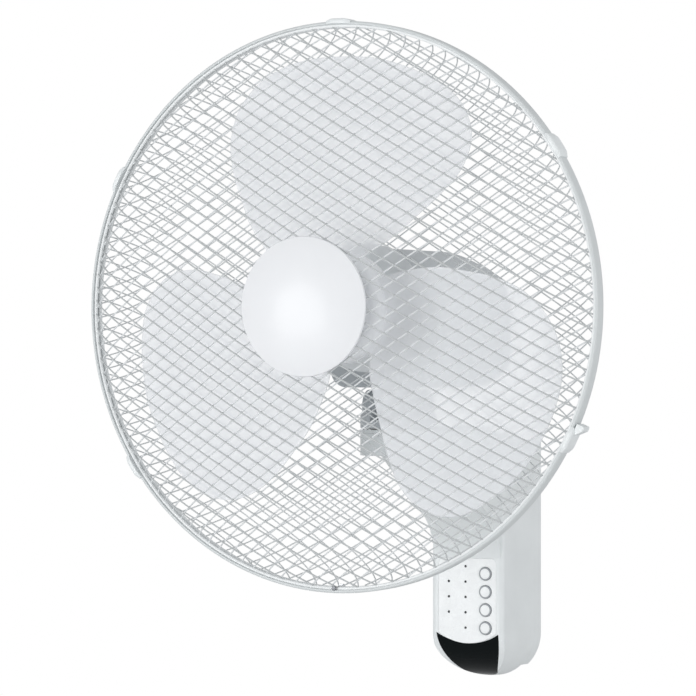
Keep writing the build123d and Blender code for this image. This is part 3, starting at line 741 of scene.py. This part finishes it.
@dataclass
class RingAndClips:
    """The plastic ring, the rim wires in its channel, the clips that grip it and its screw.

    The ring's middle is at the height place, and half is half its width. The lug stands on the clip
    at lug_angle.
    """

    radius: float = 217.3
    inner: float = 214.9
    place: float = 17.2
    half: float = 6.0
    wall: float = 1.8
    edges: Radii = (0.5, 1.6, 1.6, 0.5, 0.2, 0.3, 0.3, 0.2)
    hoop_radius: float = 213.9
    hoop_wire: float = 1.4
    hoop_gap: float = 3.2
    clip_angles: Sequence[float] = (89, 33, -27, -145, 152)
    clip_length: float = 21.0
    clip_play: float = 0.05
    clip_inset: float = 0.4
    lug_angle: float = -27
    lug: Pairs = ((218.4, 4), (224.6, 10.5), (224.6, 14), (218.4, 14))
    lug_edges: Radii = (0.2, 2, 1, 0.2)
    lug_half: float = 5.5
    lug_bend: float = 220.0
    screw: Pairs = ((NEAR_AXIS, 0.9), (1.9, 0.6), (1.9, -0.2), (1.2, -0.2), (1.2, -12),
                    (NEAR_AXIS, -12))
    screw_edges: Radii = (0, 0.4, 0, 0, 0.3, 0)
    screw_drop: float = 213.6

    def channel(self) -> list[Pair]:
        """Half section of the ring: a channel open towards the axis.

        Returns:
            Its outline with rounded edges.
        """
        bed = self.radius - self.wall
        front, back = self.place + self.half, self.place - self.half
        corners = [(self.inner, front), (self.radius, front), (self.radius, back),
                   (self.inner, back), (self.inner, back + self.wall), (bed, back + self.wall),
                   (bed, front - self.wall), (self.inner, front - self.wall)]
        return rounded(corners, self.edges)

    def clip_section(self, thick: float) -> list[Pair]:
        """Section of a clip, which grips the ring from outside.

        Args:
            thick: Thickness of its wall there.

        Returns:
            Its outline with rounded edges.
        """
        outer = self.radius + self.clip_play
        edge = self.inner + self.clip_inset
        front = self.place + self.half + self.clip_play
        back = self.place - self.half - self.clip_play
        corners = [(edge, front + thick), (outer + thick, front + thick),
                   (outer + thick, back - thick), (edge, back - thick), (edge, back),
                   (outer, back), (outer, front), (edge, front)]
        lip, bend = 0.3 * thick, 0.9 * thick
        return rounded(corners, (lip, bend, bend, lip) + (0.1,) * 4)

    def clip(self, number: int) -> None:
        """Makes one clip, curved with the ring.

        Args:
            number: Its number among the clips.
        """
        angle = self.clip_angles[number]
        middle = radians(angle)
        swing = self.clip_length / 2 / self.radius
        centre = len(CLIP_WALL) // 2
        draft = Draft()
        draft.loft([[fan_point(r, middle + swing * (k / centre - 1), h)
                     for r, h in self.clip_section(thick)] for k, thick in enumerate(CLIP_WALL)])
        if angle == self.lug_angle:
            draft.prism(rounded(self.lug, self.lug_edges),
                        lambda r, s, h: fan_point(r, middle + s / self.lug_bend, h),
                        self.place - self.lug_half, self.place + self.lug_half)
        draft.piece(f"rim_clip_{number}", "head", Finish.WHITE, ["rim_clips"], soften=0.5)

    def build(self) -> None:
        """Makes the ring, the rim wires, the clips and the screw that closes the ring."""
        ring = Draft()
        ring.lathe(self.channel(), 200)
        # painted shade: the ring takes the darkened ring finish
        ring.piece("grille_ring_moulding", "head", Finish.RING, ["grille_ring"])
        for end, gap in (("front", self.hoop_gap), ("rear", -self.hoop_gap)):
            hoop = Draft()
            hoop.lathe(arc((self.hoop_radius, self.place + gap), self.hoop_wire, 0, 330, 11), 160)
            # painted light: the hoops take the lightened, glowing wire finish
            hoop.piece(f"{end}_rim_hoop", "head", Finish.RIM_WIRE, [f"{end}_rim_wire"])
        for number in range(len(self.clip_angles)):
            self.clip(number)
        face = self.place + self.half
        screw = Draft()
        screw.lathe(rounded([(r, face + h) for r, h in self.screw], self.screw_edges), 24,
                    (0.0, -self.screw_drop))
        screw.piece("ring_screw_head", "head", Finish.LAMINATION, ["ring_screw"])
        skin("ring_nut", "head", Finish.STEEL, 0.2)


@dataclass
class CentreBadge:
    """The domed cover at the middle of the front cage."""

    radius: float = 52.5
    back: float = 70.85
    chamfer: float = 0.8
    rim: float = 73.6
    shoulder: Pairs = ((0.0, 1.2), (0.35, 0.3))
    crown: float = 51.5
    top: float = 81.4
    steps: int = 14

    def build(self) -> None:
        """Makes the dome and dresses its plate."""
        outline = [(NEAR_AXIS, self.back), (self.radius - self.chamfer, self.back),
                   (self.radius, self.back + self.chamfer)]
        outline += [(self.radius - inwards, self.rim - down) for inwards, down in self.shoulder]
        for k in range(1, self.steps + 1):
            r = self.crown * (1 - k / self.steps)
            height = self.rim + (self.top - self.rim) * (1 - (r / self.crown) ** 2)
            outline.append((max(r, NEAR_AXIS), height))
        dome = Draft()
        dome.lathe(outline, 128)
        dome.piece("centre_badge_dome", "head", Finish.DOME, ["centre_badge"])
        skin("badge_plate", "head", Finish.SHEET, 0.4)


# ======== impeller


# for each ring of a blade's face: its place from the middle, 0, to the edge, 1, and half the
# blade's thickness there as a share of its full thickness
BLADE_RINGS = ((0.02, 0.5), (0.2, 0.5), (0.4, 0.5), (0.58, 0.5), (0.74, 0.5), (0.86, 0.5),
               (0.94, 0.5), (0.98, 0.5), (0.995, 0.5), (1.0, 0.35))


@dataclass
class Impeller:
    """Three broad twisted blades on a round hub, one moulding.

    The blade's face starts at root above the axis and root_depth in front of the fan centre. It is
    turned by pitch degrees there and by pitch_loss less for each mm outwards, and leans back by
    rake for each mm.
    """

    root: float = 20.0
    root_depth: float = 20.5
    pitch: float = 9.7
    pitch_loss: float = 0.01056
    rake: float = 0.0672
    half_chord: float = 112.0
    camber: float = 3.0
    thickness: float = 2.0
    outline: Pairs = (
        (96, 105), (103, 131), (92, 157), (69, 174), (45, 184.5), (23, 190.5), (0, 192), (-23, 191),
        (-47, 185.5), (-68, 173), (-83, 153), (-89, 129), (-86, 105), (-79, 84), (-71, 64),
        (-59, 46), (-45, 30), (-28, 20), (10, 20), (17, 38), (33, 46.5), (47, 57), (61, 69),
        (78, 84))
    outline_spans: int = 6
    middle: Pair = (0.0, 105.0)
    hub: Pairs = ((4.1, 31), (43, 31), (43, 6), (40.5, 6), (40.5, 28.5), (12, 28.5), (12, -14),
                  (4.1, -14))
    hub_edges: Radii = (0.3, 8, 0.5, 0.5, 5.5, 1, 0.5, 0.3)
    nut: Pairs = ((4.1, 31), (15, 31), (15, 39.5), (9, 46), (4.1, 46))
    nut_edges: Radii = (0.2, 0.5, 2.5, 2, 0.4)
    wing: Pairs = ((14.4, 32), (16.0, 32), (15.8, 38), (14.4, 38.5))
    wing_edges: Radii = (0.2, 0.6, 0.6, 0.2)
    wing_half: float = 1.2
    wings: int = 8
    blades: int = 3

    def depth(self, x: float, z: float) -> float:
        """Depth of the blade's front face, for the blade that points up.

        Args:
            x: Distance to the right of the fan axis.
            z: Height above it.

        Returns:
            Distance behind the fan centre.
        """
        angle = radians(self.pitch - self.pitch_loss * (z - self.root))
        reach = self.half_chord * cos(angle)
        bow = self.camber * (1 - (x / reach) ** 2)
        return x * tan(angle) + self.rake * (z - self.root) - self.root_depth + bow

    def edge(self) -> list[Pair]:
        """The blade's outline as a smooth closed line through the given points.

        Returns:
            The line's points.
        """
        count = len(self.outline)
        points = []
        for k in range(count):
            a, b, c, d = (Vector(self.outline[(k + s) % count]) for s in (-1, 0, 1, 2))
            for s in range(self.outline_spans):
                t = s / self.outline_spans
                p = (b * 2 + (c - a) * t + (a * 2 - b * 5 + c * 4 - d) * t * t
                     + (b * 3 - a - c * 3 + d) * t ** 3)
                points.append(tuple(p / 2))
        return points

    def blade(self, number: int) -> None:
        """Makes one blade.

        Args:
            number: Its number, clockwise from the top.
        """
        turn = radians(-360.0 / self.blades * number)
        edge = self.edge()
        centre = Vector(self.middle)
        rings = []
        for share, half in BLADE_RINGS + tuple((s, -h) for s, h in BLADE_RINGS[::-1]):
            ring = []
            for point in edge:
                x, z = centre.lerp(Vector(point), share)
                depth = self.depth(x, z) + self.thickness * (0.5 - half)
                ring.append(fan_point(hypot(x, z), atan2(z, x) + turn, -depth))
            rings.append(ring)
        draft = Draft()
        draft.loft(rings)
        draft.piece(f"blade_{number}", "rotor", Finish.BLADE, ["impeller"], smooth=50)

    def build(self) -> None:
        """Makes the blades, the hub and the nut, and dresses the shaft."""
        for number in range(self.blades):
            self.blade(number)
        hub = Draft()
        hub.lathe(rounded(self.hub, self.hub_edges), 96)
        hub.piece("impeller_hub", "rotor", Finish.BLADE, ["impeller"], smooth=50)
        nut = Draft()
        nut.lathe(rounded(self.nut, self.nut_edges), 48)
        wing = rounded(self.wing, self.wing_edges, 2)
        for turn in turns(self.wings):
            nut.prism(wing, lambda r, h, s: fan_point(r, turn + s / r, h),
                      -self.wing_half, self.wing_half)
        nut.piece("blade_nut_knob", "rotor", Finish.WHITE, ["blade_nut"])
        keep(Finish.STEEL, "rotor_shaft", "drive_pin")
        keep(Finish.LAMINATION, "rotor_core")


# ======== motor and neck


TAIL_LOSS = 0.213   # loss of scale that lifts the belly by its whole rise
BEND_LOSS = 0.214   # part of the tail's loss of scale that the bend takes


@dataclass
class MotorHead:
    """Two-piece motor cover: a round front and a rear shell with a boxy belly.

    The shell starts at joint, runs straight, bends inwards round bend and ends at tail, all of them
    depths. The cover and the vents are given by radius and height.
    """

    radius: float = 47.0
    tail_radius: float = 37.0
    belly: float = 62.0
    belly_rise: float = 12.0
    belly_corner: float = 14.0
    joint: float = 60.0
    edge: float = 0.5
    straights: Sequence[float] = (66, 91, 116, 141)
    bend: float = 166.0
    bend_half: float = 12.0
    bend_steps: int = 6
    tail: float = 222.0
    tail_edge: float = 8.0
    tongue: Pairs = ((98, -60), (74, -60), (74, -76))
    tongue_eye: Pair = (86, -76)
    tongue_radius: float = 12.0
    tongue_half: float = 10.7
    cover: Pairs = ((9.1, -18), (18, -18), (18, -33.3), (47, -33.3), (47, -59.6), (44.5, -59.6),
                    (44.5, -35.8), (9.1, -35.8))
    cover_edges: Radii = (0.3, 0.8, 1.0, 8, 0.6, 0.3, 5, 0.3)
    vent: Pairs = ((30, -2.2), (40, -2.2), (40, 2.2), (30, 2.2))
    vent_edges: Radii = (2, 2, 2, 2)
    vents: int = 16
    vent_height: Pair = (-33.4, -33.05)

    def section(self, depth: float, scale: float, inset: float = 0.0) -> list[Vector]:
        """Round top and boxy belly at one depth.

        Args:
            depth: Distance behind the fan centre.
            scale: Size against the full section.
            inset: Distance inside that outline.

        Returns:
            The section's points.
        """
        radius = self.radius * scale - inset
        low = self.belly_rise * (1 - scale) / TAIL_LOSS - self.belly + inset
        bend = self.belly_corner * scale
        points = arc((0, 0), radius, 0, 180, 40)
        points += arc((bend - radius, low + bend), bend, 180, 270, 10)
        points += arc((radius - bend, low + bend), bend, 270, 360, 10)
        return [seen_point(x, depth, z) for x, z in points]

    def shell(self) -> Draft:
        """The rear shell.

        Returns:
            Its mesh.
        """
        loss = 1 - self.tail_radius / self.radius
        length = self.tail - self.bend
        rings = [self.section(self.joint, 1, self.edge), self.section(self.joint + self.edge, 1)]
        rings += [self.section(depth, 1) for depth in self.straights]
        for k in range(self.bend_steps + 1):
            share = k / self.bend_steps
            rings.append(self.section(self.bend + self.bend_half * (2 * share - 1),
                                      1 - loss * BEND_LOSS * share ** 2))
        for share in (0.4, 0.6, 0.8):
            rings.append(self.section(self.bend + length * share, 1 - loss * share))
        for angle in range(0, 91, 18):
            a = radians(angle)
            depth = self.tail - self.tail_edge * (1 - sin(a))
            rings.append(self.section(depth, 1 - loss * (depth - self.bend) / length,
                                      self.tail_edge * (1 - cos(a))))
        draft = Draft()
        draft.loft(rings)
        return draft

    def build(self) -> None:
        """Makes the covers and the lug for the tilt bolt, and dresses what they hold."""
        # painted shade: the shell, the tongue and the front cover take the darkened shell finish
        self.shell().piece("motor_shell_skin", "head", Finish.SHELL, ["motor_shell"], smooth=40)
        tongue = Draft()
        eye = arc(self.tongue_eye, self.tongue_radius, 180, 360, 24)
        tongue.prism([*self.tongue, *eye[1:]], lambda depth, z, x: seen_point(x, depth, z),
                     -self.tongue_half, self.tongue_half)
        tongue.piece("motor_tongue", "head", Finish.SHELL, ["motor_shell"], soften=1.0)
        cover = Draft()
        cover.lathe(rounded(self.cover, self.cover_edges), 96)
        cover.piece("motor_front_skin", "head", Finish.SHELL, ["motor_front_cover"])
        # painted shade: thin black slabs on the front cover's face stand for the vent openings and
        # the shade inside them
        vents = Draft()
        slot = rounded(self.vent, self.vent_edges)
        for turn in turns(self.vents):
            vents.prism(slot, lambda r, s, h: fan_point(hypot(r, s), turn + atan2(s, r), h),
                        *self.vent_height)
        vents.piece("motor_vent_painted_shade", "head", Finish.BLACK)
        skin("grille_nut", "head", Finish.WHITE, 0.6)
        skin("rear_hub_plate", "head", Finish.WIRE, 0.4)
        keep(Finish.LAMINATION, "front_bearing", "rear_bearing", "stator")
        keep(Finish.SHEET, "motor_end_bell")
        keep(Finish.COPPER, "stator_windings")
        keep(Finish.BLACK, "run_capacitor")


@dataclass
class Neck:
    """Turret that swings on the arm, with the tilt bolt between its ears."""

    edge: float = 0.9
    bolt_edge: float = 0.3

    def build(self) -> None:
        """Dresses the turret, the bolt and the swing drive."""
        # painted shade: the turret takes the darkened shell finish
        skin("neck_turret", "neck", Finish.SHELL, self.edge)
        skin("tilt_bolt", "neck", Finish.STEEL, self.bolt_edge)
        skin("tilt_nut", "neck", Finish.STEEL, self.bolt_edge)
        keep(Finish.STEEL, "pivot_clip", "swing_shaft")


# ======== control body


@dataclass
class ControlBody:
    """Casings, panel, window, keys and lights; lenses gives the column and row of each light."""

    key_names: Sequence[str] = ("power", "speed", "timer", "swing")
    key_column: float = 16.6
    key_rows: Sequence[float] = (-216.5, -231.4, -246.3, -261.2)
    key: Pairs = ((NEAR_AXIS, -211.5), (4.3, -211.35), (4.3, -215.1), (1.5, -215.1),
                  (1.5, -219.9), (NEAR_AXIS, -219.9))
    key_edges: Radii = (0, 0.3, 0, 0, 0.2, 0)
    ring: Pairs = ((4.3, -211.45), (5.5, -211.45), (5.5, -215.1), (4.3, -215.1))
    ring_edges: Radii = (0.1, 0.45, 0, 0)
    lens: Pairs = ((NEAR_AXIS, -212.3), (0.66, -212.35), (1.1, -212.6), (1.1, -225.5),
                   (NEAR_AXIS, -225.5))
    lenses: Pairs = ((-16.7, 1), (-16.7, 2), (-16.7, 3), (-1.5, 0), (-1.5, 1), (-1.5, 2),
                     (-1.5, 3), (-1.5, 4))
    lens_top: float = -210.8
    lens_pitch: float = 12.65

    def button(self, name: str, row: float) -> None:
        """Makes a key and the ring round its face.

        Args:
            name: What the key is for.
            row: Its height in the front view.
        """
        # the key ring is partly print and partly painted shade of the gap round the key
        parts = (("key", Finish.KEY, self.key, self.key_edges),
                 ("key_ring", Finish.KEY_RING, self.ring, self.ring_edges))
        for part, finish, section, edges in parts:
            draft = Draft()
            draft.lathe(rounded(section, edges), 40, (self.key_column, row))
            draft.piece(f"{name}_{part}", f"{name}_key", finish, [f"{name}_button"])

    def lights(self) -> None:
        """Makes the indicator lights."""
        draft = Draft()
        for column, row in self.lenses:
            draft.lathe(self.lens, 16, (column, self.lens_top - self.lens_pitch * row))
        draft.piece("indicator_lenses", "base", Finish.LENS, ["light_pipes"])

    def build(self) -> None:
        """Makes and dresses the control body."""
        skin("front_casing", "base", Finish.WHITE, 0.5, smooth=25)
        skin("arm_lid", "base", Finish.WHITE, 0.8)
        skin("rear_casing", "base", Finish.WHITE, 0.4, smooth=25)
        skin("control_panel", "base", Finish.PANEL, 0.2)
        skin("receiver_window", "base", Finish.WINDOW, 0.3, smooth=25)
        skin("wall_bracket", "base", Finish.SHEET, 0.4)
        skin("cord_grommet", "base", Finish.SEAL, 0.2)
        for name, row in zip(self.key_names, self.key_rows):
            self.button(name, row)
        self.lights()
        keep(Finish.STEEL, "casing_screws", "lid_screws", "lock_screw")
        keep(Finish.BOARD, "control_board")
        keep(Finish.BLACK, "tact_switches", "ir_receiver")
        keep(Finish.SHEET, "swing_motor")
        keep(Finish.NYLON, "pivot_washer")


# ======== studio


@dataclass(frozen=True)
class Lamp:
    """Soft round light that aims at the fan, its size in metres and its power in watts."""

    name: str
    place: tuple[float, float, float]
    size: float
    power: float

    def build(self) -> None:
        """Adds the light to the scene."""
        data = bpy.data.lights.new(self.name, "AREA")
        data.shape = "DISK"
        data.size = self.size
        data.energy = self.power
        light = bpy.data.objects.new(self.name, data)
        light.location = self.place
        light.rotation_euler = (FAN - Vector(self.place)).to_track_quat("-Z", "Y").to_euler()
        bpy.context.scene.collection.objects.link(light)


def white_for_camera(tree: bpy.types.NodeTree, shader: Socket, output: Socket, kind: str) -> None:
    """Lets the camera see plain white while the scene gets the given shader.

    Args:
        tree: Node tree of the world or the floor.
        shader: What lights the scene.
        output: The tree's surface input.
        kind: Shader node that gives the white.
    """
    white = tree.nodes.new(kind)
    white.inputs["Color"].default_value = (1, 1, 1, 1)
    path = tree.nodes.new("ShaderNodeLightPath")
    mix = tree.nodes.new("ShaderNodeMixShader")
    tree.links.new(path.outputs["Is Camera Ray"], mix.inputs[0])
    tree.links.new(shader, mix.inputs[1])
    tree.links.new(white.outputs[0], mix.inputs[2])
    tree.links.new(mix.outputs[0], output)


@dataclass
class Studio:
    """Pale floor, soft light and the camera; lengths are in metres but the lens in mm."""

    azimuth: float = 27.5
    distance: float = 2.5
    drop: float = 0.031
    lens: float = 168.83
    far: float = 200.0
    lamps: Sequence[Lamp] = (Lamp("key", (-1.25, -2.76, 0.03), 1.5, 32),
                             Lamp("fill", (2.6, -1.0, 0.4), 1.8, 16))
    sky: Colour = (0.97, 0.985, 1.0)
    sky_strength: float = 0.56
    floor_height: float = -0.42
    floor_radius: float = 60.0
    floor_sides: int = 64

    def camera(self) -> None:
        """Sets the camera at the viewing angle."""
        turn = radians(self.azimuth)
        data = bpy.data.cameras.new("view")
        data.lens = self.lens
        data.clip_end = self.far
        view = bpy.data.objects.new("view", data)
        view.location = (FAN + Vector((sin(turn), -cos(turn), 0)) * self.distance
                         - Vector((0, 0, self.drop)))
        view.rotation_euler = (pi / 2, 0, turn)
        bpy.context.scene.collection.objects.link(view)
        bpy.context.scene.camera = view

    def world(self) -> None:
        """Makes the soft light from all round."""
        world = bpy.data.worlds.new("studio")
        bpy.context.scene.world = world
        world.use_nodes = True
        tree = world.node_tree
        tree.nodes.clear()
        sky = tree.nodes.new("ShaderNodeBackground")
        sky.inputs["Color"].default_value = (*self.sky, 1)
        sky.inputs["Strength"].default_value = self.sky_strength
        output = tree.nodes.new("ShaderNodeOutputWorld").inputs["Surface"]
        white_for_camera(tree, sky.outputs[0], output, "ShaderNodeBackground")

    def floor(self) -> None:
        """Makes the floor."""
        rim = [(self.floor_radius * cos(a), self.floor_radius * sin(a), self.floor_height)
               for a in turns(self.floor_sides)]
        mesh = bpy.data.meshes.new("floor")
        mesh.from_pydata(rim, [], [tuple(range(self.floor_sides))])
        floor = bpy.data.objects.new("floor", mesh)
        bpy.context.scene.collection.objects.link(floor)
        desk = NodeDesk("floor_paint")
        desk.tint(desk.noise(size_mm=400, detail=3), (0.84, 0.845, 0.85), (0.87, 0.87, 0.87))
        desk.fixed(Roughness=0.8)
        white_for_camera(desk.tree, desk.shader.outputs[0], desk.output.inputs["Surface"],
                         "ShaderNodeEmission")
        mesh.materials.append(desk.material)

    def build(self) -> None:
        """Makes the floor, the lights and the camera."""
        bpy.context.scene.view_settings.view_transform = "Standard"
        self.world()
        self.floor()
        for lamp in self.lamps:
            lamp.build()
        self.camera()


def main() -> None:
    """Builds the fan round its solids and sets the stage."""
    logging.basicConfig(level=logging.INFO, format="%(name)s %(message)s")
    # the front cage's outer wires take painted shade and its inner wires painted light
    front = WireCage("front_cage_wires", "front_grille", (-29.5, 33.5), 9.45,
                     ((213.6, 20.4), (197.0, 39.0), (53.0, 70.0)), inner=48.0, corner=45.0,
                     outer_finish=Finish.FRONT_WIRE, inner_finish=Finish.PALE_WIRE)
    rear = WireCage("rear_cage_wires", "rear_grille", (-32.0, 32.0), 9.3,
                    ((213.6, 14.0), (199.0, -25.5), (47.5, -36.7)), inner=47.5, corner=40.0,
                    wire=0.55, outward=-1.0)
    for assembly in (front, rear, RingAndClips(), CentreBadge(), Impeller(), MotorHead(), Neck(),
                     ControlBody(), Studio()):
        assembly.build()
        LOG.info("%s is in place", type(assembly).__name__)


if __name__ == "__main__":
    main()
